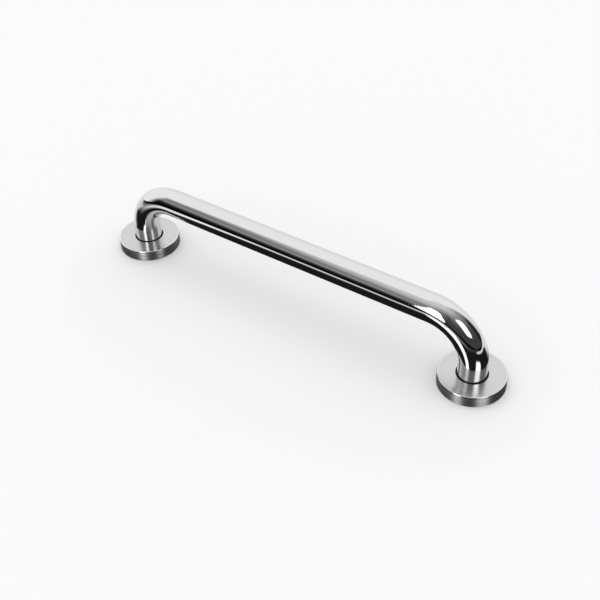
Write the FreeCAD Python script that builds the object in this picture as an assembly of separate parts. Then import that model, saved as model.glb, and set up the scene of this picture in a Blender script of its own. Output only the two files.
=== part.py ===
import FreeCAD, Part
import math
import os

# Grab rail: one bent stainless tube welded into two round mounting plates. A turned
# cover hides each plate. It rides on a guide ring, turns, and slides up the leg so that
# the screws can be reached.
#
# Millimetres, +Z up. The mounting faces lie in the plane Z = 0, the grip runs along X,
# and the origin is midway between the legs. Each piece is written to parts/NAME.step.

Vector = FreeCAD.Vector

# ---- driving dimensions -------------------------------------------------------------
# Tube
TUBE_OD = 32.0
TUBE_WALL = 1.5
LEG_CENTRES = 450.0          # between the axes of the two legs
LEG_STRAIGHT = 28.0          # mounting face up to the start of the bend
BEND_RADIUS = 52.0           # of the tube's axis
TUBE_RECESS = 1.2            # mounting face up to the cut end of each leg

# Mounting plate, a flat disc
PLATE_REACH = 19.0           # radial, from the tube to the plate's edge
PLATE_THICKNESS = 3.0
PLATE_EDGE_ROUND = 0.5
PLATE_BORE_CLEARANCE = 0.05  # radial, round the tube
SCREW_COUNT = 3
SCREW_REACH = 10.5           # radial, from the tube to a screw's axis
SCREW_HOLE_D = 5.5
SCREW_HEAD_D = 9.6           # mouth of the 90 degree countersink

# Weld beads between the tube and the plate
TOP_WELD_LEG = 2.6           # of the fillet on the plate's upper face
TOP_WELD_BULGE = 0.25
FOOT_WELD_WIDTH = 1.2        # radial, of the seal weld under the tube's cut end
FOOT_WELD_SETBACK = 0.15     # mounting face up to the bead

# Cover, a turned shell open at its foot
COVER_TOP = 13.5             # mounting face to the cover's flat face
COVER_WALL = 1.2
COVER_SIDE_CLEARANCE = 0.8   # radial, round the plate
COVER_RIM_LIFT = 0.2         # mounting face up to the rim
COVER_EDGE_ROUND = 1.0
COVER_BORE_GAP = 1.5         # radial, round the tube
COVER_BORE_ROUND = 0.3
COLLAR_WALL = 2.1            # radial, of the collar round the bore
COLLAR_DEPTH = 4.2           # flat face down to the collar's foot
GROOVE_DEPTH = 0.7           # radial, of the groove that keeps the guide ring
GROOVE_HEIGHT = 1.4
GROOVE_SETBACK = 1.5         # flat face down to the groove

# Guide ring between the cover's bore and the tube
RING_SLIDE_CLEARANCE = 0.2   # radial, to the tube
RING_TURN_CLEARANCE = 0.1    # to the cover's bore and groove
RING_SETBACK = 0.3           # flat face down to the ring's upper end
RING_CHAMFER = 0.2

# ---- values that follow -------------------------------------------------------------
RISE = LEG_STRAIGHT + BEND_RADIUS       # mounting face to the axis of the grip
TUBE_R = TUBE_OD / 2
PLATE_R = TUBE_R + PLATE_REACH
PLATE_BORE_R = TUBE_R + PLATE_BORE_CLEARANCE
SCREW_CIRCLE_R = TUBE_R + SCREW_REACH
SINK_DEPTH = (SCREW_HEAD_D - SCREW_HOLE_D) / 2
COVER_INSIDE_R = PLATE_R + COVER_SIDE_CLEARANCE
COVER_R = COVER_INSIDE_R + COVER_WALL
COVER_BORE_R = TUBE_R + COVER_BORE_GAP
COLLAR_R = COVER_BORE_R + COLLAR_WALL
COLLAR_FOOT = COVER_TOP - COLLAR_DEPTH
GROOVE_R = COVER_BORE_R + GROOVE_DEPTH
GROOVE_TOP = COVER_TOP - GROOVE_SETBACK
GROOVE_FOOT = GROOVE_TOP - GROOVE_HEIGHT
SIDES = {"left": -1, "right": 1}
UP = Vector(0, 0, 1)
ON_POINT = 1e-6              # two places nearer than this are the same


# ---- shapes in general --------------------------------------------------------------
def at_leg(side, z=0.0):
    """The point at height z on the axis of that side's leg."""
    return Vector(SIDES[side] * LEG_CENTRES / 2, 0, z)


def line(start, end):
    return Part.LineSegment(start, end).toShape()


def polygon(*radius_and_height):
    """Closed section through (radius, height) corners."""
    corners = [Vector(radius, 0, height) for radius, height in radius_and_height]
    return Part.makePolygon(corners + corners[:1])


def turned(section, side):
    """A closed section of radius along X and height along Z, turned about a leg."""
    solid = Part.Face(section).revolve(Vector(0, 0, 0), UP, 360)
    solid.translate(at_leg(side))
    return solid


def circles_at(solid, side, radius, height):
    """The round edges of that radius and height about a leg."""
    centre = at_leg(side, height)
    return [
        edge
        for edge in solid.Edges
        if isinstance(edge.Curve, Part.Circle)
        and (edge.Curve.Center - centre).Length < ON_POINT
        and abs(edge.Curve.Radius - radius) < ON_POINT
    ]


# ---- tube ---------------------------------------------------------------------------
def tube_path():
    """Axis of the tube: leg, bend, grip, bend, leg."""

    def bend(side):
        """Start, middle and end of a bend, from its leg to the grip."""
        inward = Vector(-SIDES[side], 0, 0)
        start = at_leg(side, LEG_STRAIGHT)
        centre = start + inward * BEND_RADIUS
        middle = centre + (UP - inward) * (BEND_RADIUS * math.sqrt(0.5))
        return start, middle, centre + UP * BEND_RADIUS

    left = bend("left")
    right = bend("right")
    return Part.Wire([
        line(at_leg("left", TUBE_RECESS), left[0]),
        Part.Arc(*left).toShape(),
        line(left[2], right[2]),
        Part.Arc(*reversed(right)).toShape(),
        line(right[0], at_leg("right", TUBE_RECESS)),
    ])


def bar(radius):
    """A round bar of that radius along the tube's axis."""
    end = Part.Wire(Part.makeCircle(radius, at_leg("left", TUBE_RECESS), UP))
    return tube_path().makePipeShell([end], True, True)


def rail_tube():
    return bar(TUBE_R).cut(bar(TUBE_R - TUBE_WALL))


# ---- mounting plate and its welds ---------------------------------------------------
def screw_hole(centre):
    """What a countersunk screw takes out of the plate."""
    hole = Part.makeCylinder(SCREW_HOLE_D / 2, PLATE_THICKNESS, centre)
    sink_foot = centre + UP * (PLATE_THICKNESS - SINK_DEPTH)
    return hole.fuse(Part.makeCone(SCREW_HOLE_D / 2, SCREW_HEAD_D / 2, SINK_DEPTH, sink_foot))


def base_plate(side):
    """Disc with a bore for the tube and screw holes, the first on the rail's outer side."""
    plate = Part.makeCylinder(PLATE_R, PLATE_THICKNESS, at_leg(side))
    plate = plate.makeFillet(PLATE_EDGE_ROUND, circles_at(plate, side, PLATE_R, PLATE_THICKNESS))
    plate = plate.cut(Part.makeCylinder(PLATE_BORE_R, PLATE_THICKNESS, at_leg(side)))
    for n in range(SCREW_COUNT):
        turn = n * 2 * math.pi / SCREW_COUNT
        arm = Vector(SIDES[side] * math.cos(turn), math.sin(turn), 0)
        plate = plate.cut(screw_hole(at_leg(side) + arm * SCREW_CIRCLE_R))
    return plate


def top_weld(side):
    """Fillet weld in the corner between the leg and the plate's upper face."""
    half = TOP_WELD_LEG / 2 + TOP_WELD_BULGE * math.sqrt(0.5)
    corner = Vector(TUBE_R, 0, PLATE_THICKNESS)
    toe = corner + Vector(TOP_WELD_LEG, 0, 0)
    crest = corner + Vector(half, 0, half)
    crown = corner + UP * TOP_WELD_LEG
    outside = Part.Arc(toe, crest, crown).toShape()
    return turned(Part.Wire([line(corner, toe), outside, line(crown, corner)]), side)


def foot_weld(side):
    """Seal weld under the cut end of the leg, in the corner with the plate's bore."""
    section = polygon(
        (PLATE_BORE_R - FOOT_WELD_WIDTH, TUBE_RECESS),
        (PLATE_BORE_R, TUBE_RECESS),
        (PLATE_BORE_R, FOOT_WELD_SETBACK),
    )
    return turned(section, side)


# ---- cover and guide ring -----------------------------------------------------------
def cover(side):
    """Shell with a collar inside it round the bore, grooved for the guide ring."""
    inside_top = COVER_TOP - COVER_WALL
    section = polygon(
        (COVER_R, COVER_RIM_LIFT),
        (COVER_R, COVER_TOP),
        (COVER_BORE_R, COVER_TOP),
        (COVER_BORE_R, GROOVE_TOP),
        (GROOVE_R, GROOVE_TOP),
        (GROOVE_R, GROOVE_FOOT),
        (COVER_BORE_R, GROOVE_FOOT),
        (COVER_BORE_R, COLLAR_FOOT),
        (COLLAR_R, COLLAR_FOOT),
        (COLLAR_R, inside_top),
        (COVER_INSIDE_R, inside_top),
        (COVER_INSIDE_R, COVER_RIM_LIFT),
    )
    shell = turned(section, side)
    shell = shell.makeFillet(COVER_EDGE_ROUND, circles_at(shell, side, COVER_R, COVER_TOP))
    return shell.makeFillet(COVER_BORE_ROUND, circles_at(shell, side, COVER_BORE_R, COVER_TOP))


def guide_ring(side):
    """Ring that fills the gap round the tube, with a rib in the cover's groove."""
    bore_r = TUBE_R + RING_SLIDE_CLEARANCE
    body_r = COVER_BORE_R - RING_TURN_CLEARANCE
    rib_r = GROOVE_R - RING_TURN_CLEARANCE
    rib_top = GROOVE_TOP - RING_TURN_CLEARANCE
    rib_foot = GROOVE_FOOT + RING_TURN_CLEARANCE
    top = COVER_TOP - RING_SETBACK
    section = polygon(
        (bore_r, COLLAR_FOOT + RING_CHAMFER),
        (bore_r, top - RING_CHAMFER),
        (bore_r + RING_CHAMFER, top),
        (body_r, top),
        (body_r, rib_top),
        (rib_r, rib_top),
        (rib_r, rib_foot),
        (body_r, rib_foot),
        (body_r, COLLAR_FOOT),
        (bore_r + RING_CHAMFER, COLLAR_FOOT),
    )
    return turned(section, side)


# ---- output -------------------------------------------------------------------------
def write(name, shape):
    """Writes one piece to parts/NAME.step, after a check that it is one good solid."""
    if len(shape.Solids) != 1 or not shape.isValid() or shape.Volume <= 0:
        raise ValueError(f"{name} isn't one valid solid")
    shape.Solids[0].exportStep(f"parts/{name}.step")
    print(f"{name}: {shape.Volume:.1f} mm3")


def main():
    os.makedirs("parts", exist_ok=True)
    write("rail_tube", rail_tube())
    for side in SIDES:
        write(f"{side}_base_plate", base_plate(side))
        write(f"{side}_top_weld", top_weld(side))
        write(f"{side}_foot_weld", foot_weld(side))
        write(f"{side}_guide_ring", guide_ring(side))
        write(f"{side}_cover", cover(side))


main()
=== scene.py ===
import math

import bpy
import numpy as np
from bpy.props import FloatProperty, FloatVectorProperty, PointerProperty
from mathutils import Matrix, Vector


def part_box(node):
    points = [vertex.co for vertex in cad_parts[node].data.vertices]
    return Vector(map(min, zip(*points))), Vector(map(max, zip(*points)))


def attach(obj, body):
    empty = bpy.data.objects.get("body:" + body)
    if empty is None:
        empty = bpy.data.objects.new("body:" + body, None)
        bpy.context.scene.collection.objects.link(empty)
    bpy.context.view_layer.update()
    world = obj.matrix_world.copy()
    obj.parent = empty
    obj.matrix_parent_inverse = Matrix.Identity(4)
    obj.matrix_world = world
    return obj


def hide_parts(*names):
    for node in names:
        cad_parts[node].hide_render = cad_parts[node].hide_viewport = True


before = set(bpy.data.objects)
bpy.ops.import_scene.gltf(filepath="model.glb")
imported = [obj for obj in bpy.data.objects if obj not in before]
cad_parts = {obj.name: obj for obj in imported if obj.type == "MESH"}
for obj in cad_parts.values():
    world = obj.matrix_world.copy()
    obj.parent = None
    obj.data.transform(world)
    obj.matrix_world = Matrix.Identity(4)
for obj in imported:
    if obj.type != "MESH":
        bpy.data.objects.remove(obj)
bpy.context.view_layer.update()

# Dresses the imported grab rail: a mirror-polished bent tube on two mounting plates, two
# turned covers that slide and turn on black guide rings, and the weld beads inside them.
# Lengths are metres. Every new piece is a grid of points worked out with numpy: a section
# carried along the tube's axis, or turned about a leg. The plates are the CAD's own.

bl_info = {
    "name": "Grab rail",
    "version": (1, 0, 0),
    "blender": (4, 5, 0),
    "location": "3D View > Sidebar > Grab rail",
    "description": "Polished tube, turned covers, guide rings, plates and welds of a grab rail",
    "category": "Add Mesh",
}

MM = 0.001
SIDES = {"left": -1, "right": 1}
FULL_TURN = 2 * math.pi

# ---- sizes read from the frame ------------------------------------------------------
COVER_LOW, COVER_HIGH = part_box("right_cover")
LEG_X = (COVER_LOW.x + COVER_HIGH.x) / 2
COVER_R = COVER_HIGH.x - LEG_X
COVER_RIM = COVER_LOW.z
COVER_TOP = COVER_HIGH.z

TUBE_LOW, TUBE_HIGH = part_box("rail_tube")
TUBE_R = TUBE_HIGH.x - LEG_X
TUBE_FOOT = TUBE_LOW.z
GRIP_Z = TUBE_HIGH.z - TUBE_R    # of the grip's axis

RING_LOW, RING_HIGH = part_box("right_guide_ring")
RING_RIB_R = RING_HIGH.x - LEG_X
RING_FOOT = RING_LOW.z
RING_TOP = RING_HIGH.z

PLATE_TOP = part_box("right_base_plate")[1].z

TOP_WELD_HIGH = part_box("right_top_weld")[1]
TOP_WELD_R = TOP_WELD_HIGH.x - LEG_X
TOP_WELD_TOP = TOP_WELD_HIGH.z

FOOT_WELD_LOW, FOOT_WELD_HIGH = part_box("right_foot_weld")
FOOT_WELD_R = FOOT_WELD_HIGH.x - LEG_X
FOOT_WELD_FOOT = FOOT_WELD_LOW.z
FOOT_WELD_TOP = FOOT_WELD_HIGH.z

# ---- fineness of the grids ----------------------------------------------------------
# Columns go round a piece, stations lie along the tube's axis.
TUBE_COLUMNS = 144
LEG_STATIONS = 10
BEND_STATIONS = 73
HALF_GRIP_STATIONS = 25
COVER_COLUMNS = 288
RING_COLUMNS = 192
BEAD_POINTS = 13             # across a weld bead's face
RIPPLE_COLUMNS = 9           # along one ripple of a bead
SHARP_EDGE = math.radians(40)    # a greater angle between two faces stays sharp


# ---- settings that a user may change ------------------------------------------------
def length(name, default, description):
    """A length property, in metres."""
    return FloatProperty(
        name=name,
        description=description,
        default=default,
        min=0.0,
        unit="LENGTH",
        precision=5,
    )


def share(name, default, description):
    """A property from 0 to 1."""
    return FloatProperty(
        name=name,
        description=description,
        default=default,
        min=0.0,
        max=1.0,
        subtype="FACTOR",
    )


def tone(name, default, description):
    """A colour property."""
    return FloatVectorProperty(
        name=name,
        description=description,
        default=default,
        size=3,
        min=0.0,
        max=1.0,
        subtype="COLOR",
    )


def brightness(name, default, description):
    """A brightness property, where 1 is white."""
    return FloatProperty(name=name, description=description, default=default, min=0.0)


def angle(name, degrees, description):
    """An angle property, with its default in degrees."""
    return FloatProperty(
        name=name,
        description=description,
        default=math.radians(degrees),
        subtype="ANGLE",
    )


class TubeSettings(bpy.types.PropertyGroup):
    wall: length("Wall", 1.5 * MM, "Thickness of the tube's wall")
    bend_radius: length("Bend radius", 52 * MM, "Radius of the tube's axis in each bend")
    end_break: length("End break", 0.2 * MM, "Small chamfer round the cut ends")
    colour: tone("Steel", (0.78, 0.78, 0.785), "Colour of the polished steel")
    roughness: share("Roughness", 0.035, "How blurred the polish is")


class CoverSettings(bpy.types.PropertyGroup):
    wall: length("Wall", 1.2 * MM, "Thickness of the cover's wall")
    edge_round: length("Edge round", 1.0 * MM, "Rounding of the outer edge")
    edge_break: length("Edge break", 0.12 * MM, "Rounding of the other edges")
    bore_gap: length("Bore gap", 1.5 * MM, "Radial gap between the bore and the tube")
    bore_round: length("Bore round", 0.3 * MM, "Rounding of the bore's mouth")
    collar_wall: length("Collar wall", 2.1 * MM, "Radial thickness of the collar")
    collar_depth: length("Collar depth", 4.2 * MM, "Flat face to the collar's foot")
    groove_depth: length("Groove depth", 0.7 * MM, "Radial depth of the ring's groove")
    groove_height: length("Groove height", 1.4 * MM, "Height of the ring's groove")
    groove_setback: length("Groove setback", 1.5 * MM, "Flat face to the ring's groove")
    colour: tone("Steel", (0.66, 0.66, 0.66), "Colour of the turned steel")
    roughness: share("Face roughness", 0.24, "How blurred the flat face's finish is")
    side_roughness: share("Side roughness", 0.42, "How blurred the side's finish is")
    side_haze: share("Side haze", 0.02, "Light that the side's lines scatter all round")
    # width of the painted dark reflection, a darker band painted under the polished edge
    painted_dark_line: length("Edge line", 1.1 * MM, "Width of the dark line under the polished edge")
    grain: share("Grain", 0.7, "How much more the finish blurs across its lines")


class RingSettings(bpy.types.PropertyGroup):
    slide_gap: length("Slide gap", 0.2 * MM, "Radial gap to the tube")
    turn_gap: length("Turn gap", 0.1 * MM, "Gap to the cover's bore and groove")
    edge_break: length("Edge break", 0.15 * MM, "Rounding of the ring's edges")
    colour: tone("Rubber", (0.006, 0.006, 0.006), "Colour of the rubber")


class PlateSettings(bpy.types.PropertyGroup):
    colour: tone("Steel", (0.52, 0.52, 0.53), "Colour of the plate's steel")
    roughness: share("Roughness", 0.34, "How blurred the mill finish is")
    tint_width: length("Tint width", 5 * MM, "How far the weld's heat coloured the plate")


class WeldSettings(bpy.types.PropertyGroup):
    ripple_pitch: length("Ripple pitch", 1.1 * MM, "Distance from one ripple to the next")
    ripple_height: length("Ripple height", 0.16 * MM, "Height of a ripple")
    top_bulge: length("Top bulge", 0.25 * MM, "How far the top bead's face stands out")
    foot_width: length("Foot width", 1.2 * MM, "Radial width of the foot bead")
    colour: tone("Bead", (0.42, 0.41, 0.4), "Colour of the weld metal")
    roughness: share("Roughness", 0.3, "How blurred the bead is")


class StudioSettings(bpy.types.PropertyGroup):
    floor_tone: tone("Floor", (0.93, 0.93, 0.93), "Colour of the floor")
    daylight: brightness("Daylight", 0.94, "Even light from all round")
    sky: brightness("Sky", 0.959, "The sky as the camera sees it, as pale as the far floor")
    lamp_strength: brightness("Lamp", 0.3, "Strength of the overhead lamp")
    side_glow: brightness("Side softbox", 2.0, "Its brightness, on the right in the metal")
    front_glow: brightness("Front softbox", 3.4, "Its brightness, in front in the metal")
    image_glow: brightness("Softbox images", 1.4, "Brightness of their images in the dark sheet")
    camera_azimuth: angle("Azimuth", 36.47, "Camera's turn round the rail")
    camera_elevation: angle("Elevation", 41.13, "Camera's height over the floor")
    camera_roll: angle("Roll", -2.64, "Camera's lean")
    camera_distance: length("Distance", 1.118, "Camera to what it looks at")
    camera_lens: FloatProperty(
        name="Lens",
        description="Focal length on a 36 mm sensor",
        default=59.77,
        subtype="DISTANCE_CAMERA",
    )


SETTINGS = {
    "rail_tube_look": TubeSettings,
    "rail_cover_look": CoverSettings,
    "rail_ring_look": RingSettings,
    "rail_plate_look": PlateSettings,
    "rail_weld_look": WeldSettings,
    "rail_studio_look": StudioSettings,
}


# ---- grids of points ----------------------------------------------------------------
def closed_surface(name, points):
    """A mesh from a grid of points that closes on itself both ways.

    Point (i, j) is row i of the section and column j round it. Each face joins rows i and
    i + 1 and columns j and j + 1, counted round. The faces are turned about if the volume
    inside them, a sum of point . (area vector) / 3, comes out negative. Its map "surface"
    gives the way along the rows in metres and the share of the way round the columns.
    """
    rows, columns = points.shape[:2]
    row, column = np.meshgrid(np.arange(rows), np.arange(columns), indexing="ij")
    next_row = (row + 1) % rows
    next_column = (column + 1) % columns
    corner_rows = np.stack([row, next_row, next_row, row], axis=-1).reshape(-1, 4)
    corner_columns = np.stack([column, column, next_column, next_column], axis=-1).reshape(-1, 4)
    faces = corner_rows * columns + corner_columns

    flat = points.reshape(-1, 3)
    a, b, c, d = (flat[faces[:, k]] for k in range(4))
    inside = np.einsum("ij,ij->i", a, np.cross(c - a, d - b)).sum()

    step = np.linalg.norm(np.roll(points[:, 0], -1, axis=0) - points[:, 0], axis=1)
    along = np.concatenate([[0.0], np.cumsum(step)])
    right_column = np.stack([column, column, column + 1, column + 1], axis=-1).reshape(-1, 4)
    low_row = np.stack([row, row + 1, row + 1, row], axis=-1).reshape(-1, 4)
    maps = np.stack([along[low_row], right_column / columns], axis=-1)
    if inside < 0:
        faces = faces[:, ::-1]
        maps = maps[:, ::-1]

    mesh = bpy.data.meshes.new(name)
    mesh.from_pydata(flat, [], faces.tolist())
    layer = mesh.uv_layers.new(name="surface")
    layer.data.foreach_set("uv", np.ascontiguousarray(maps, dtype=np.float32).ravel())
    mesh.shade_smooth()
    mesh.set_sharp_from_angle(angle=SHARP_EDGE)
    return mesh


def rounded(corners, rounds, steps=7, guard=0.12 * MM):
    """A closed section with its corners rounded.

    Each corner becomes an arc that touches both of its sides: its centre lies on the
    corner's bisector, and its points swing evenly from the first side to the second. A
    guard point before the arc and one after it, at most a third of the way to the next
    arc, keep the flats beside it flat in the shading.
    """
    corners = np.array(corners, dtype=float)
    rounds = np.broadcast_to(np.array(rounds, dtype=float), len(corners))
    before = np.roll(corners, 1, axis=0) - corners
    after = np.roll(corners, -1, axis=0) - corners
    before_length = np.linalg.norm(before, axis=1, keepdims=True)
    after_length = np.linalg.norm(after, axis=1, keepdims=True)
    before = before / before_length
    after = after / after_length
    bisector = before + after
    bisector = bisector / np.linalg.norm(bisector, axis=1, keepdims=True)
    half = np.arccos(np.clip(np.sum(bisector * before, axis=1), -1, 1))[:, None]
    radius = rounds[:, None]
    reach = radius / np.tan(half)
    centre = corners + bisector * radius / np.sin(half)
    start = corners + before * reach - centre
    end = corners + after * reach - centre
    swing = (math.pi - 2 * half)[:, None]
    k = np.linspace(0, 1, steps)[None, :, None]
    from_start = np.sin((1 - k) * swing) * start[:, None]
    from_end = np.sin(k * swing) * end[:, None]
    arc = centre[:, None] + (from_start + from_end) / np.sin(swing)
    room_before = np.minimum(guard, (before_length - reach) / 3)
    room_after = np.minimum(guard, (after_length - reach) / 3)
    first = (corners + before * (reach + room_before))[:, None]
    last = (corners + after * (reach + room_after))[:, None]
    return np.concatenate([first, arc, last], axis=1).reshape(-1, 2)


def turned(section, side, columns):
    """A section of (radius, height) points turned about a leg.

    A point goes to leg + radius * (cos a, sin a) at its own height, for angles a spaced
    evenly round the leg.
    """
    way_round = np.arange(columns) * FULL_TURN / columns
    radius = section[:, 0][:, None]
    height = np.broadcast_to(section[:, 1][:, None], (len(section), columns))
    x = SIDES[side] * LEG_X + radius * np.cos(way_round)
    y = radius * np.sin(way_round)
    return np.stack([x, y, height], axis=-1)


def tube_axis(bend_radius, foot_steps):
    """Stations (x, z) along the tube's axis, from the left foot to the right one.

    With them come the directions (-cos t, sin t) that point out of the bends. The turn t
    goes from 0 in the leg to a quarter in the grip, and a bend's station is its centre +
    bend_radius * (-cos t, sin t). The right half is the left one in a mirror. foot_steps
    are the first stations, as heights over the cut end.
    """
    bend_x = LEG_X - bend_radius
    bend_z = GRIP_Z - bend_radius
    leg_rest = np.linspace(TUBE_FOOT, bend_z, LEG_STATIONS)[1:-1]
    leg_z = np.concatenate([TUBE_FOOT + foot_steps, leg_rest])
    leg_x = np.full(len(leg_z), -LEG_X)
    bend_turn = np.linspace(0, math.pi / 2, BEND_STATIONS)
    grip_x = np.linspace(-bend_x, 0, HALF_GRIP_STATIONS)[1:]
    grip_z = np.full(len(grip_x), GRIP_Z)
    turn = np.concatenate([np.zeros(len(leg_z)), bend_turn, np.full(len(grip_x), math.pi / 2)])
    x = np.concatenate([leg_x, -bend_x - bend_radius * np.cos(bend_turn), grip_x])
    z = np.concatenate([leg_z, bend_z + bend_radius * np.sin(bend_turn), grip_z])
    outward = np.stack([-np.cos(turn), np.sin(turn)], axis=-1)
    half = np.stack([x, z], axis=-1)
    mirror = np.array([-1.0, 1.0])
    stations = np.concatenate([half, half[-2::-1] * mirror])
    outward = np.concatenate([outward, outward[-2::-1] * mirror])
    return stations, outward


def carried(stations, outward, radius, columns):
    """Circles carried along an axis in the plane Y = 0.

    Column angle a gives station + radius * (cos a * outward + sin a * Y), with a radius
    for each station.
    """
    way_round = np.arange(columns) * FULL_TURN / columns
    reach = radius[:, None] * np.cos(way_round)
    x = stations[:, 0][:, None] + reach * outward[:, 0][:, None]
    z = stations[:, 1][:, None] + reach * outward[:, 1][:, None]
    return np.stack([x, radius[:, None] * np.sin(way_round), z], axis=-1)


def place(name, mesh, body, node, material):
    """Puts a piece in the scene in the place of its CAD node."""
    mesh.materials.append(material)
    piece = bpy.data.objects.new(name, mesh)
    bpy.context.scene.collection.objects.link(piece)
    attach(piece, body)
    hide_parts(node)
    return piece


# ---- materials ----------------------------------------------------------------------
class Shader:
    """A node material with a Principled shader, and short ways to add nodes to it."""

    def __init__(self, name):
        self.material = bpy.data.materials.new(name)
        self.material.use_nodes = True
        self.nodes = self.material.node_tree.nodes
        self.links = self.material.node_tree.links
        self.surface = self.nodes["Principled BSDF"]

    def feed(self, socket, value):
        """Gives a socket a number, a colour or another node's output."""
        if isinstance(value, bpy.types.NodeSocket):
            self.links.new(value, socket)
        else:
            socket.default_value = value

    def finish(self, **inputs):
        """Feeds the Principled shader; an underscore in a name stands for a space."""
        for socket, value in inputs.items():
            self.feed(self.surface.inputs[socket.replace("_", " ")], value)
        return self.material

    def node(self, kind, inputs=None, **options):
        """Adds a node with these inputs and options."""
        node = self.nodes.new(kind)
        for option, value in options.items():
            setattr(node, option, value)
        for socket, value in (inputs or {}).items():
            self.feed(node.inputs[socket], value)
        return node

    def add(self, first, second):
        return self.node("ShaderNodeMath", {0: first, 1: second}, operation="ADD").outputs[0]

    def times(self, first, second):
        inputs = {0: first, 1: second}
        return self.node("ShaderNodeMath", inputs, operation="MULTIPLY").outputs[0]

    def point(self):
        """The point on the piece, in metres."""
        return self.node("ShaderNodeTexCoord").outputs["Object"]

    def mapped(self, point, **options):
        """The point scaled or moved by a Mapping node's Scale or Location."""
        return self.node("ShaderNodeMapping", {"Vector": point, **options}).outputs[0]

    def noise(self, vector, scale, detail=2.0, roughness=0.5):
        inputs = {"Vector": vector, "Scale": scale, "Detail": detail, "Roughness": roughness}
        return self.node("ShaderNodeTexNoise", inputs).outputs["Fac"]

    def spread(self, value, low, high, start=0.3, end=0.7):
        """value from start..end, a noise's usual reach, brought to low..high."""
        inputs = {"Value": value, "From Min": start, "From Max": end}
        inputs.update({"To Min": low, "To Max": high})
        return self.node("ShaderNodeMapRange", inputs).outputs["Result"]

    def blend(self, factor, first, second):
        """The colour first where factor is 0, second where it is 1."""
        node = self.node("ShaderNodeMix", data_type="RGBA")
        self.feed(node.inputs["Factor"], factor)
        self.feed(node.inputs["A"], first)
        self.feed(node.inputs["B"], second)
        return node.outputs["Result"]

    def bump(self, height, distance, under=None):
        """A relief as high as distance, laid over the relief under it."""
        inputs = {"Height": height, "Distance": distance, "Strength": 1.0}
        if under is not None:
            inputs["Normal"] = under
        return self.node("ShaderNodeBump", inputs).outputs["Normal"]

    def from_leg(self, side):
        """The point's distance from the leg's axis, its height, and both as a vector."""
        point = self.mapped(self.point(), Location=(-SIDES[side] * LEG_X, 0, 0))
        x, y, z = self.node("ShaderNodeSeparateXYZ", {0: point}).outputs
        flat = self.node("ShaderNodeCombineXYZ", {"X": x, "Y": y}).outputs[0]
        length_node = self.node("ShaderNodeVectorMath", {0: flat}, operation="LENGTH")
        radius = length_node.outputs["Value"]
        return radius, z, self.node("ShaderNodeCombineXYZ", {"X": radius, "Y": z}).outputs[0]


def rgba(colour, scale=1.0):
    return (*(channel * scale for channel in colour), 1.0)


def polished_steel(look):
    """Mirror polish: a faint haze that comes and goes, and waves too long to feel."""
    shader = Shader("polished_steel")
    point = shader.point()
    haze = shader.noise(point, scale=45.0, detail=3.0)
    wipes = shader.noise(shader.mapped(point, Scale=(0.25, 1, 1)), scale=900.0)
    patchy = shader.add(shader.spread(haze, -0.01, 0.012), shader.spread(wipes, -0.006, 0.006))
    waves = shader.bump(shader.noise(point, scale=70.0, detail=1.0), 0.012 * MM)
    return shader.finish(
        Metallic=1.0,
        Base_Color=shader.blend(haze, rgba(look.colour, 0.985), rgba(look.colour)),
        Roughness=shader.add(patchy, look.roughness),
        Normal=shader.bump(shader.noise(point, scale=420.0, detail=1.0), 0.0012 * MM, waves),
    )


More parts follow.
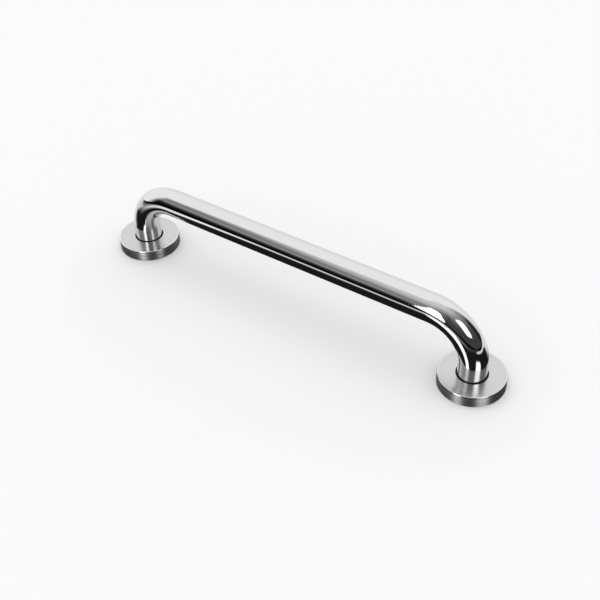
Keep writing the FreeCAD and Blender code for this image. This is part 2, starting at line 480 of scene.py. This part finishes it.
def turned_steel(look, side):
    """Satin steel with the fine lines that turning leaves round the axis.

    The flat face is even. The side has coarser lines, and near its top a painted dark
    reflection. The rounded edge between them is polished, and its colour is painted lighter
    as a highlight. The lines are noise over the distance from the axis and the height, and
    a little of the place, so they drift on their way round.
    """
    shader = Shader(f"{side}_turned_steel")
    radius, height, section = shader.from_leg(side)
    point = shader.point()
    scaled = {0: point, "Scale": 0.004}
    drift = shader.node("ShaderNodeVectorMath", scaled, operation="SCALE").outputs[0]
    drifting = {0: section, 1: drift}
    section = shader.node("ShaderNodeVectorMath", drifting, operation="ADD").outputs[0]
    fine = shader.noise(section, scale=9000.0, roughness=0.7)
    bands = shader.noise(section, scale=1300.0, roughness=0.6)
    coarse = shader.noise(section, scale=420.0, detail=3.0, roughness=0.6)
    clouds = shader.noise(point, scale=60.0)

    # where the side, the polished edge with its painted highlight, and the painted dark
    # reflection under it are
    side_start = COVER_R - look.edge_round
    on_side = shader.spread(radius, 0, 1, side_start, end=COVER_R - 0.2 * MM)
    polish_start = 1.2 * look.edge_round
    polish_full = 0.9 * look.edge_round
    rim = shader.spread(radius, 0, 1, COVER_R - polish_start, COVER_R - polish_full)
    top = shader.spread(height, 0, 1, COVER_TOP - polish_start, COVER_TOP - polish_full)
    # edge marks the polished edge: there it lowers the roughness, which is real polish, and
    # lightens the colour, which is a painted highlight
    edge = shader.times(rim, top)
    # a band under the polished edge is painted darker: a painted dark reflection
    painted_line_foot = COVER_TOP - look.edge_round - look.painted_dark_line
    on_painted_line = shader.spread(height, 0, 1, painted_line_foot - 0.4 * MM, painted_line_foot)

    face_share = shader.spread(bands, 0, 1)
    face_lines = shader.blend(face_share, rgba(look.colour, 0.96), rgba(look.colour, 1.03))
    side_share = shader.spread(coarse, 0, 1, start=0.36, end=0.64)
    side_lines = shader.blend(side_share, rgba(look.colour, 0.7), rgba(look.colour, 1.22))
    # the painted dark reflection darkens the side's colour to 0.6 in that band
    side_lines = shader.blend(on_painted_line, side_lines, rgba(look.colour, 0.6))
    lines = shader.blend(on_side, face_lines, side_lines)
    hazed = shader.blend(shader.spread(clouds, 0, 0.12), lines, rgba(look.colour, 0.9))

    grain = shader.add(shader.spread(bands, -0.03, 0.03), shader.spread(fine, -0.03, 0.03))
    satin = shader.add(grain, shader.spread(on_side, look.roughness, look.side_roughness, 0, 1))
    around = shader.node("ShaderNodeTangent", direction_type="UV_MAP", uv_map="surface")
    return shader.finish(
        Metallic=shader.spread(on_side, 1, 1 - look.side_haze, start=0, end=1),
        Anisotropic=look.grain,
        Tangent=around.outputs[0],
        # the polished edge's colour is 1.35 times lighter: a painted highlight
        Base_Color=shader.blend(edge, hazed, rgba(look.colour, 1.35)),
        Roughness=shader.times(satin, shader.spread(edge, 1, 0.4, start=0, end=1)),
        Normal=shader.bump(fine, 0.002 * MM, shader.bump(bands, 0.006 * MM)),
    )


def ring_rubber(look):
    """Matt black rubber with a fine moulded grain and a little dust."""
    shader = Shader("ring_rubber")
    point = shader.point()
    dust = shader.noise(point, scale=700.0, detail=4.0, roughness=0.7)
    dusty = rgba([channel + 0.01 for channel in look.colour])
    dust_share = shader.spread(dust, 0, 1, start=0.5, end=0.8)
    return shader.finish(
        Specular_IOR_Level=0.25,
        Base_Color=shader.blend(dust_share, rgba(look.colour), dusty),
        Roughness=shader.spread(dust, 0.5, 0.68),
        Normal=shader.bump(shader.noise(point, scale=4000.0, detail=3.0), 0.01 * MM),
    )


def plate_steel(look, side):
    """Mill finish with a straight grain, straw and blue where the weld heated it."""
    shader = Shader(f"{side}_plate_steel")
    radius = shader.from_leg(side)[0]
    point = shader.point()
    stretched = shader.mapped(point, Scale=(0.05, 1, 1))
    grain = shader.noise(stretched, scale=3500.0, detail=3.0, roughness=0.65)
    clouds = shader.noise(point, scale=130.0, detail=3.0)
    ragged = shader.add(radius, shader.spread(clouds, -0.8 * MM, 0.8 * MM))
    heated = TOP_WELD_R - 3 * MM
    heat = shader.spread(ragged, 0.0, 1.0, start=heated, end=TOP_WELD_R + look.tint_width)
    tint = shader.node("ShaderNodeValToRGB", {"Fac": heat})
    stops = (
        (0.0, (0.34, 0.33, 0.33)),
        (0.35, (0.22, 0.26, 0.42)),
        (0.55, (0.38, 0.24, 0.2)),
        (0.75, (0.56, 0.46, 0.3)),
        (1.0, tuple(look.colour)),
    )
    ramp = tint.color_ramp
    while len(ramp.elements) < len(stops):
        ramp.elements.new(0.5)
    for element, (position, colour) in zip(ramp.elements, stops):
        element.position = position
        element.color = rgba(colour)
    score = (0.12, 0.12, 0.12, 1)
    rough = shader.add(shader.spread(grain, -0.06, 0.08), shader.spread(clouds, -0.03, 0.05))
    return shader.finish(
        Metallic=1.0,
        Base_Color=shader.blend(shader.spread(grain, 0, 0.16), tint.outputs["Color"], score),
        Roughness=shader.add(rough, look.roughness),
        Normal=shader.bump(grain, 0.006 * MM),
    )


def weld_metal(look):
    """Bright weld metal, straw in patches, with a fine scale."""
    shader = Shader("weld_metal")
    point = shader.point()
    patches = shader.noise(point, scale=260.0, detail=3.0, roughness=0.6)
    straw = (0.5, 0.41, 0.28, 1)
    straw_share = shader.spread(patches, 0, 0.8, start=0.45, end=0.75)
    fine_scale = shader.noise(point, scale=3000.0, detail=3.0, roughness=0.6)
    return shader.finish(
        Metallic=1.0,
        Base_Color=shader.blend(straw_share, rgba(look.colour), straw),
        Roughness=shader.spread(patches, look.roughness - 0.08, look.roughness + 0.14),
        Normal=shader.bump(fine_scale, 0.02 * MM),
    )


# ---- pieces -------------------------------------------------------------------------
class RAIL_OT_tube(bpy.types.Operator):
    """Make the bent polished tube, with its wall and cut ends"""

    bl_idname = "grab_rail.tube"
    bl_label = "Tube"

    def execute(self, context):
        look = context.scene.rail_tube_look
        stations, outward = tube_axis(look.bend_radius, np.array([0.0, look.end_break]))
        outside = np.full(len(stations), TUBE_R)
        outside[[0, -1]] -= look.end_break
        inside = np.full(len(stations), TUBE_R - look.wall)
        inside[[0, -1]] += look.end_break
        outer = carried(stations, outward, outside, TUBE_COLUMNS)
        inner = carried(stations, outward, inside, TUBE_COLUMNS)
        mesh = closed_surface("polished_tube", np.concatenate([outer, inner[::-1]]))
        steel = polished_steel(look)
        place("polished_tube", mesh, "rail", "rail_tube", steel)
        return {"FINISHED"}


def cover_section(look):
    """The cover's wall: outer side, flat face, grooved bore, collar and inside."""
    bore = TUBE_R + look.bore_gap
    groove = bore + look.groove_depth
    groove_top = COVER_TOP - look.groove_setback
    groove_foot = groove_top - look.groove_height
    collar = bore + look.collar_wall
    collar_foot = COVER_TOP - look.collar_depth
    inside = COVER_R - look.wall
    inside_top = COVER_TOP - look.wall
    small = look.edge_break
    corners = [
        (COVER_R, COVER_RIM, small),
        (COVER_R, COVER_TOP, look.edge_round),
        (bore, COVER_TOP, look.bore_round),
        (bore, groove_top, small),
        (groove, groove_top, small),
        (groove, groove_foot, small),
        (bore, groove_foot, small),
        (bore, collar_foot, small),
        (collar, collar_foot, small),
        (collar, inside_top, small),
        (inside, inside_top, small),
        (inside, COVER_RIM, small),
    ]
    return rounded([corner[:2] for corner in corners], [corner[2] for corner in corners])


class RAIL_OT_covers(bpy.types.Operator):
    """Make the two turned covers"""

    bl_idname = "grab_rail.covers"
    bl_label = "Covers"

    def execute(self, context):
        look = context.scene.rail_cover_look
        section = cover_section(look)
        for side in SIDES:
            name = f"{side}_turned_cover"
            cover = f"{side}_cover"
            mesh = closed_surface(name, turned(section, side, COVER_COLUMNS))
            place(name, mesh, cover, cover, turned_steel(look, side))
        return {"FINISHED"}


def ring_section(look, cover):
    """The guide ring's section, with the rib that sits in the cover's groove."""
    bore = TUBE_R + look.slide_gap
    body = TUBE_R + cover.bore_gap - look.turn_gap
    rib_top = COVER_TOP - cover.groove_setback - look.turn_gap
    rib_foot = rib_top - cover.groove_height + 2 * look.turn_gap
    corners = [
        (bore, RING_FOOT),
        (bore, RING_TOP),
        (body, RING_TOP),
        (body, rib_top),
        (RING_RIB_R, rib_top),
        (RING_RIB_R, rib_foot),
        (body, rib_foot),
        (body, RING_FOOT),
    ]
    return rounded(corners, look.edge_break, steps=5, guard=0.05 * MM)


class RAIL_OT_guide_rings(bpy.types.Operator):
    """Make the two black rings between the covers and the tube"""

    bl_idname = "grab_rail.guide_rings"
    bl_label = "Guide rings"

    def execute(self, context):
        look = context.scene.rail_ring_look
        section = ring_section(look, context.scene.rail_cover_look)
        rubber = ring_rubber(look)
        for side in SIDES:
            name = f"{side}_rubber_ring"
            mesh = closed_surface(name, turned(section, side, RING_COLUMNS))
            place(name, mesh, f"{side}_ring", f"{side}_guide_ring", rubber)
        return {"FINISHED"}


class RAIL_OT_plates(bpy.types.Operator):
    """Give the two mounting plates their finish"""

    bl_idname = "grab_rail.plates"
    bl_label = "Mounting plates"

    def execute(self, context):
        look = context.scene.rail_plate_look
        for side in SIDES:
            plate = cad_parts[f"{side}_base_plate"].data
            plate.materials.clear()
            plate.materials.append(plate_steel(look, side))
        return {"FINISHED"}


def bead(side, toe, crown, heel, look, bulge):
    """A weld bead between two (radius, height) points, laid in overlapping ripples.

    The bead's face runs from toe to crown as a bow, which at the share k of the way stands
    out by bulge * b, with b = 4 k (1 - k). Each ripple rises along the bead like a scale
    and drops at its edge: the phase p is the angle in ripples + 0.8 b, less whole turns,
    and the face is sunk by ripple_height * b * (1 - p). The heel closes the section where
    the two welded parts meet.
    """
    ripples = round(FULL_TURN * toe[0] / look.ripple_pitch)
    columns = ripples * RIPPLE_COLUMNS
    k = np.linspace(0, 1, BEAD_POINTS)[:, None]
    bow = 4 * k * (1 - k)
    toe, crown, heel = (np.array(point) for point in (toe, crown, heel))
    middle = (toe + crown) / 2
    outward = (middle - heel) / np.linalg.norm(middle - heel)
    way_round = np.arange(columns)[None, :] * FULL_TURN / columns
    phase = np.mod(way_round * ripples / FULL_TURN + 0.8 * bow, 1.0)
    out = bulge * bow - look.ripple_height * bow * (1 - phase)
    line = toe + (crown - toe) * k
    radius = line[:, 0][:, None] + out * outward[0]
    height = line[:, 1][:, None] + out * outward[1]
    radius = np.concatenate([radius, np.full((1, columns), heel[0])])
    height = np.concatenate([height, np.full((1, columns), heel[1])])
    x = SIDES[side] * LEG_X + radius * np.cos(way_round)
    return np.stack([x, radius * np.sin(way_round), height], axis=-1)


class RAIL_OT_welds(bpy.types.Operator):
    """Make the weld beads at the top and at the foot of the plates"""

    bl_idname = "grab_rail.welds"
    bl_label = "Welds"

    def execute(self, context):
        look = context.scene.rail_weld_look
        metal = weld_metal(look)
        top_corners = (TOP_WELD_R, PLATE_TOP), (TUBE_R, TOP_WELD_TOP), (TUBE_R, PLATE_TOP)
        foot_inside = FOOT_WELD_R - look.foot_width
        foot_corners = (
            (FOOT_WELD_R, FOOT_WELD_FOOT),
            (foot_inside, FOOT_WELD_TOP),
            (FOOT_WELD_R, FOOT_WELD_TOP),
        )
        for side in SIDES:
            top = bead(side, *top_corners, look, look.top_bulge)
            foot = bead(side, *foot_corners, look, look.ripple_height)
            for end, points in (("top", top), ("foot", foot)):
                name = f"{side}_{end}_bead"
                mesh = closed_surface(name, points)
                place(name, mesh, "rail", f"{side}_{end}_weld", metal)
        return {"FINISHED"}


# ---- studio -------------------------------------------------------------------------
# Levels are brightnesses, where 1 is white.
FLOOR_DROP = 0.2 * MM        # the plates' undersides down to the floor
TABLE_DROP = 0.1 * MM        # down to the table, which the metal shows in its place
PLATE_LIGHT_DROP = 0.05 * MM
PLATE_LIGHT = 0.8            # level of the discs under the plates
FLOOR_REACH = 60.0
LAMP_SPREAD = math.radians(50)
LAMP_DIRECTION = (0.5, -0.6, -2.6)
LOOKED_AT = (17.5 * MM, -17.3 * MM, 30 * MM)     # by the camera
SENSOR_WIDTH = 36.0
NEAREST_SEEN = 0.01
TENT_RADIUS = 1.5
TENT_MIDDLE_X = 0.1          # the tent's levels are given as seen from here
TENT_MIDDLE_Z = 0.06
BELOW_FLOOR = 0.012          # level of the tent below the floor

# Levels of the tent's cloth from the floor upwards: height in degrees, level.
FRONT_CLOTH = (
    (0, 0.005),
    (6, 0.01),
    (11, 0.03),
    (17, 0.12),
    (22, 0.31),
    (29, 0.28),
    (34, 0.2),
    (39, 0.27),
    (45, 0.4),
    (51, 0.52),
    (57, 0.61),
    (63, 0.66),
    (80, 0.72),
)
RIGHT_CLOTH = (
    (0, 0.06),
    (10, 0.05),
    (30, 0.09),
    (38, 0.18),
    (45, 0.22),
    (57, 0.36),
    (66, 0.55),
    (80, 0.72),
)

# Levels of the bright strip in front of the dark sheet, from left to right: x, level.
STRIP = (
    (-0.45, 0.2),
    (-0.36, 0.35),
    (-0.28, 1.15),
    (-0.1, 0.95),
    (0.1, 0.8),
    (0.2, 0.3),
    (0.35, 0.05),
)
# Where the paper behind the rail starts: x, y.
BACK_PAPER_EDGE = ((-0.28, -0.03), (-0.2, 0.075), (0.26, 0.065), (0.4, 0.16))
BACK_PAPER = 0.86
SIDE_PAPER = 0.7


def smooth(value, start, end):
    """0 before start, 1 after end, and 3 k k - 2 k k k between them; start may be the larger."""
    k = np.clip((value - start) / (end - start), 0, 1)
    return k * k * (3 - 2 * k)


def graded(value, steps):
    """Straight runs from each (value, level) step to the next."""
    values, levels = zip(*steps)
    return np.interp(value, values, levels)


def glow_paint():
    """Light as bright as the card's map of levels says; clear where the card is open."""
    shader = Shader("glow_paint")
    glow = shader.node("ShaderNodeAttribute", attribute_name="glow").outputs["Color"]
    open_part = shader.node("ShaderNodeAttribute", attribute_name="open").outputs["Color"]
    lit = shader.node("ShaderNodeEmission", {"Color": glow}).outputs[0]
    clear = shader.node("ShaderNodeBsdfTransparent", {"Color": open_part}).outputs[0]
    both = shader.node("ShaderNodeAddShader", {0: lit, 1: clear}).outputs[0]
    shader.feed(shader.nodes["Material Output"].inputs["Surface"], both)
    return shader.material


def stage_sheet(name, mesh, paint):
    """Puts a sheet of the studio in the scene."""
    mesh.materials.append(paint)
    sheet = bpy.data.objects.new(name, mesh)
    bpy.context.scene.collection.objects.link(sheet)
    return sheet


def card(name, points, glow, open_part=0.0):
    """A studio card from an open grid of points, which only the metal shows.

    glow and open_part give each point's level, where 1 is white and fully clear.
    """
    rows, columns = points.shape[:2]
    start = (np.arange(rows - 1)[:, None] * columns + np.arange(columns - 1)[None, :]).ravel()
    faces = np.stack([start, start + 1, start + columns + 1, start + columns], axis=-1)
    mesh = bpy.data.meshes.new(name)
    mesh.from_pydata(points.reshape(-1, 3), [], faces.tolist())
    for layer, level in (("glow", glow), ("open", open_part)):
        level = np.broadcast_to(level, (rows, columns)).reshape(-1, 1)
        colours = np.concatenate([level, level, level, np.ones_like(level)], axis=1)
        colours = np.ascontiguousarray(colours, dtype=np.float32)
        attribute = mesh.attributes.new(layer, "FLOAT_COLOR", "POINT")
        attribute.data.foreach_set("color", colours.ravel())
    sheet = stage_sheet(name, mesh, bpy.data.materials.get("glow_paint") or glow_paint())
    sheet.visible_camera = False
    sheet.visible_diffuse = False
    sheet.visible_transmission = False
    sheet.visible_volume_scatter = False
    sheet.visible_shadow = False


def tent():
    """The light tent: TENT_RADIUS * (cos e sin a, -cos e cos a, sin e) over angles e, a.

    a is the turn from the front (-Y) towards +X, and e the height over the floor. The
    cloth is white behind and to the left, a little greyer low behind, greyer overhead, and
    dark towards the open front and right, with one dark seam there. Below the floor it is
    almost black.
    """
    e = np.linspace(-math.pi / 2, math.pi / 2, 181)[:, None]
    a = np.linspace(-math.pi, math.pi, 181)[None, :]
    x = TENT_RADIUS * np.cos(e) * np.sin(a)
    y = -TENT_RADIUS * np.cos(e) * np.cos(a)
    z = TENT_RADIUS * np.sin(e) + 0 * a
    to_side = x - TENT_MIDDLE_X
    turn = np.degrees(np.arctan2(to_side, -y))
    height = np.degrees(np.arctan2(z - TENT_MIDDLE_Z, np.hypot(to_side, y)))

    front = graded(height, FRONT_CLOTH)
    level = front + (graded(height, RIGHT_CLOTH) - front) * smooth(turn, -25, 15)
    low_right = smooth(turn, 114, 122) * smooth(height, 42, 30)
    level = level * (1 - 0.75 * low_right)
    left_and_back = np.maximum(smooth(turn, -56, -72), smooth(turn, 133, 150))
    level = level + (1 - level) * left_and_back * smooth(height, 90, 72)
    seam = np.exp(-(((turn - 25) / 6) ** 2) - ((height - 41) / 8) ** 2)
    level = level * (1 - 0.8 * seam)
    low_behind = smooth(np.abs(turn), 115, 135) * smooth(height, 45, 0)
    level = level * (1 - 0.14 * low_behind)
    card("tent", np.stack([x, y, z], axis=-1), np.where(z < 0, BELOW_FLOOR, level))


def table():
    """The table as the metal shows it: a dark sheet under the rail and pale paper round it.

    The sheet is open, so that the softboxes' images show in it as in black glass. In front
    of it the paper brightens to a soft strip, which bends towards the rail at its left end
    and fades to the right and towards the dark front.
    """
    way = np.linspace(-TENT_RADIUS, TENT_RADIUS, 301)
    x, y = np.meshgrid(way, way, indexing="xy")
    bend = smooth(x, -0.11, -0.275)
    back_rim = smooth(y, -0.15 + 0.08 * bend, -0.25 + 0.125 * bend)
    straight = smooth(x, -0.34, -0.225)
    front_rim = smooth(y, -0.27 - 0.13 * straight, -0.13 - 0.1 * straight)
    strip = graded(x, STRIP) * back_rim * front_rim

    back_edge = graded(x, BACK_PAPER_EDGE)
    back = BACK_PAPER * smooth(y, back_edge - 0.02, back_edge + 0.02) * smooth(x, 0.8, 0.6)
    left = SIDE_PAPER * smooth(x, -0.34, -0.42) * smooth(y, -0.17, -0.1)
    right_ends = smooth(x, 0.46, 0.5) * smooth(x, 0.72, 0.64)
    right = SIDE_PAPER * right_ends * smooth(y, -0.16, -0.12)
    level = np.maximum(np.maximum(strip, back), np.maximum(left, right))

    sheet_ends = smooth(x, -0.38, -0.34) * smooth(x, 0.5, 0.46)
    sheet = sheet_ends * smooth(y, -0.26, -0.2) * smooth(y, 0.18, 0.14)
    points = np.stack([x, y, np.full_like(x, -TABLE_DROP)], axis=-1)
    card("table", points, level, sheet * np.clip(1 - level, 0, 1))


def plate_light(side):
    """A pale disc right under a plate, which lights its underside.

    Its grid is leg + r * (cos a, sin a), with r from 0 to a little inside the cover's side.
    """
    reach = np.linspace(0, COVER_R - 0.5 * MM, 3)
    r, a = np.meshgrid(reach, np.linspace(0, FULL_TURN, 65), indexing="ij")
    x = SIDES[side] * LEG_X + r * np.cos(a)
    points = np.stack([x, r * np.sin(a), np.full_like(r, -PLATE_LIGHT_DROP)], axis=-1)
    card(f"{side}_plate_light", points, PLATE_LIGHT)


def softbox(name, centre, target, width, height, edge, glow, image_glow, image_reach=1.0):
    """A softbox that faces target, and its fainter image in the dark sheet below.

    Its grid is centre + i * across + j * up, where i and j go from -1 to 1. With the
    distance q = (i^4 + j^4)^(1/4) from the middle, it fades over the share edge up to q = 1.
    The image has the same points with -image_reach * z for z.
    """
    forward = (Vector(target) - Vector(centre)).normalized()
    across = Vector((0, 0, 1)).cross(forward).normalized()
    up = forward.cross(across)
    i, j = np.meshgrid(np.linspace(-1, 1, 49), np.linspace(-1, 1, 49), indexing="xy")
    sideways = np.array(across) * (i * width / 2)[..., None]
    upward = np.array(up) * (j * height / 2)[..., None]
    points = np.array(centre) + sideways + upward
    q = (np.abs(i) ** 4 + np.abs(j) ** 4) ** 0.25
    shape = smooth(q, 1, 1 - edge)
    card(name, points, glow * shape, 1 - shape)
    image = points * np.array([1, 1, -image_reach])
    card(f"{name}_image", image, image_glow * shape, 1 - shape)


def cards(look):
    """The tent, the table and the two softboxes in the metal's reflections."""
    tent()
    table()
    for side in SIDES:
        plate_light(side)
    softbox(
        "side_softbox",
        centre=(0.768, -0.26, 0.5),
        target=(0.2, 0, 0.07),
        width=0.44,
        height=0.56,
        edge=0.3,
        glow=look.side_glow,
        image_glow=look.image_glow,
    )
    softbox(
        "front_softbox",
        centre=(0.0, -1.0, 0.42),
        target=(0.2, 0, 0.42),
        width=0.41,
        height=0.82,
        edge=0.06,
        glow=look.front_glow,
        image_glow=look.image_glow,
        image_reach=1.5,
    )


def floor_paint(look):
    """Plain matt floor, seen from above only."""
    shader = Shader("floor_paint")
    shader.finish(Base_Color=rgba(look.floor_tone), Roughness=1.0, Specular_IOR_Level=0.0)
    clear = shader.node("ShaderNodeBsdfTransparent").outputs[0]
    back = shader.node("ShaderNodeNewGeometry").outputs["Backfacing"]
    mix = shader.node("ShaderNodeMixShader", {0: back, 1: shader.surface.outputs[0], 2: clear})
    shader.feed(shader.nodes["Material Output"].inputs["Surface"], mix.outputs[0])
    return shader.material


def floor(look):
    """The plain floor, just under the plates; the metal shows the table in its place."""
    turns = ((-1, -1), (1, -1), (1, 1), (-1, 1))
    corners = [(x * FLOOR_REACH, y * FLOOR_REACH, -FLOOR_DROP) for x, y in turns]
    mesh = bpy.data.meshes.new("floor")
    mesh.from_pydata(corners, [], [(0, 1, 2, 3)])
    sheet = stage_sheet("floor", mesh, floor_paint(look))
    sheet.visible_glossy = False


def daylight(look):
    """Even white light from all round; the camera sees it as pale as the far floor."""
    world = bpy.data.worlds.new("daylight")
    world.use_nodes = True
    nodes = world.node_tree.nodes
    background = nodes["Background"]
    background.inputs["Color"].default_value = (1, 1, 1, 1)
    level = nodes.new("ShaderNodeMapRange")
    level.inputs["To Min"].default_value = look.daylight
    level.inputs["To Max"].default_value = look.sky
    seen = nodes.new("ShaderNodeLightPath").outputs["Is Camera Ray"]
    world.node_tree.links.new(seen, level.inputs["Value"])
    world.node_tree.links.new(level.outputs["Result"], background.inputs["Strength"])
    bpy.context.scene.world = world


def overhead_lamp(look):
    """A wide soft lamp, high up and a little behind, which lays the rail's shadow."""
    lamp = bpy.data.lights.new("overhead_lamp", "SUN")
    lamp.energy = look.lamp_strength
    lamp.angle = LAMP_SPREAD
    holder = bpy.data.objects.new("overhead_lamp", lamp)
    holder.rotation_euler = Vector(LAMP_DIRECTION).to_track_quat("-Z", "Y").to_euler()
    holder.visible_glossy = False
    bpy.context.scene.collection.objects.link(holder)


def camera(look):
    """Camera that looks down along the rail from its right end."""
    level = math.cos(look.camera_elevation)
    back = Vector((
        math.sin(look.camera_azimuth) * level,
        -math.cos(look.camera_azimuth) * level,
        math.sin(look.camera_elevation),
    ))
    across = Vector((0, 0, 1)).cross(back).normalized()
    turn = Matrix((across, back.cross(across), back)).transposed().to_4x4()
    roll = Matrix.Rotation(look.camera_roll, 4, "Z")
    data = bpy.data.cameras.new("camera")
    data.sensor_width = SENSOR_WIDTH
    data.lens = look.camera_lens
    data.clip_start = NEAREST_SEEN
    holder = bpy.data.objects.new("camera", data)
    seat = Vector(LOOKED_AT) + back * look.camera_distance
    holder.matrix_world = Matrix.Translation(seat) @ turn @ roll
    bpy.context.scene.collection.objects.link(holder)
    bpy.context.scene.camera = holder


class RAIL_OT_studio(bpy.types.Operator):
    """Make the floor, the lights and the camera"""

    bl_idname = "grab_rail.studio"
    bl_label = "Studio"

    def execute(self, context):
        look = context.scene.rail_studio_look
        camera(look)
        daylight(look)
        overhead_lamp(look)
        floor(look)
        cards(look)
        context.scene.view_settings.view_transform = "Standard"
        return {"FINISHED"}


# ---- add-on -------------------------------------------------------------------------
OPERATORS = (
    RAIL_OT_studio,
    RAIL_OT_tube,
    RAIL_OT_covers,
    RAIL_OT_guide_rings,
    RAIL_OT_plates,
    RAIL_OT_welds,
)


class RAIL_PT_panel(bpy.types.Panel):
    """Lists the rail's pieces and their settings"""

    bl_label = "Grab rail"
    bl_idname = "RAIL_PT_panel"
    bl_space_type = "VIEW_3D"
    bl_region_type = "UI"
    bl_category = "Grab rail"

    def draw(self, context):
        for operator in OPERATORS:
            self.layout.operator(operator.bl_idname)
        for name, group in SETTINGS.items():
            box = self.layout.box()
            look = getattr(context.scene, name)
            for setting in group.__annotations__:
                box.prop(look, setting)


def register():
    for group in SETTINGS.values():
        bpy.utils.register_class(group)
    for name, group in SETTINGS.items():
        setattr(bpy.types.Scene, name, PointerProperty(type=group))
    for operator in OPERATORS:
        bpy.utils.register_class(operator)
    bpy.utils.register_class(RAIL_PT_panel)


def unregister():
    bpy.utils.unregister_class(RAIL_PT_panel)
    for operator in reversed(OPERATORS):
        bpy.utils.unregister_class(operator)
    for name in SETTINGS:
        delattr(bpy.types.Scene, name)
    for group in reversed(list(SETTINGS.values())):
        bpy.utils.unregister_class(group)


def main():
    """Makes the studio and the pieces."""
    register()
    for operator in OPERATORS:
        family, name = operator.bl_idname.split(".")
        getattr(getattr(bpy.ops, family), name)()


if __name__ == "__main__":
    main()
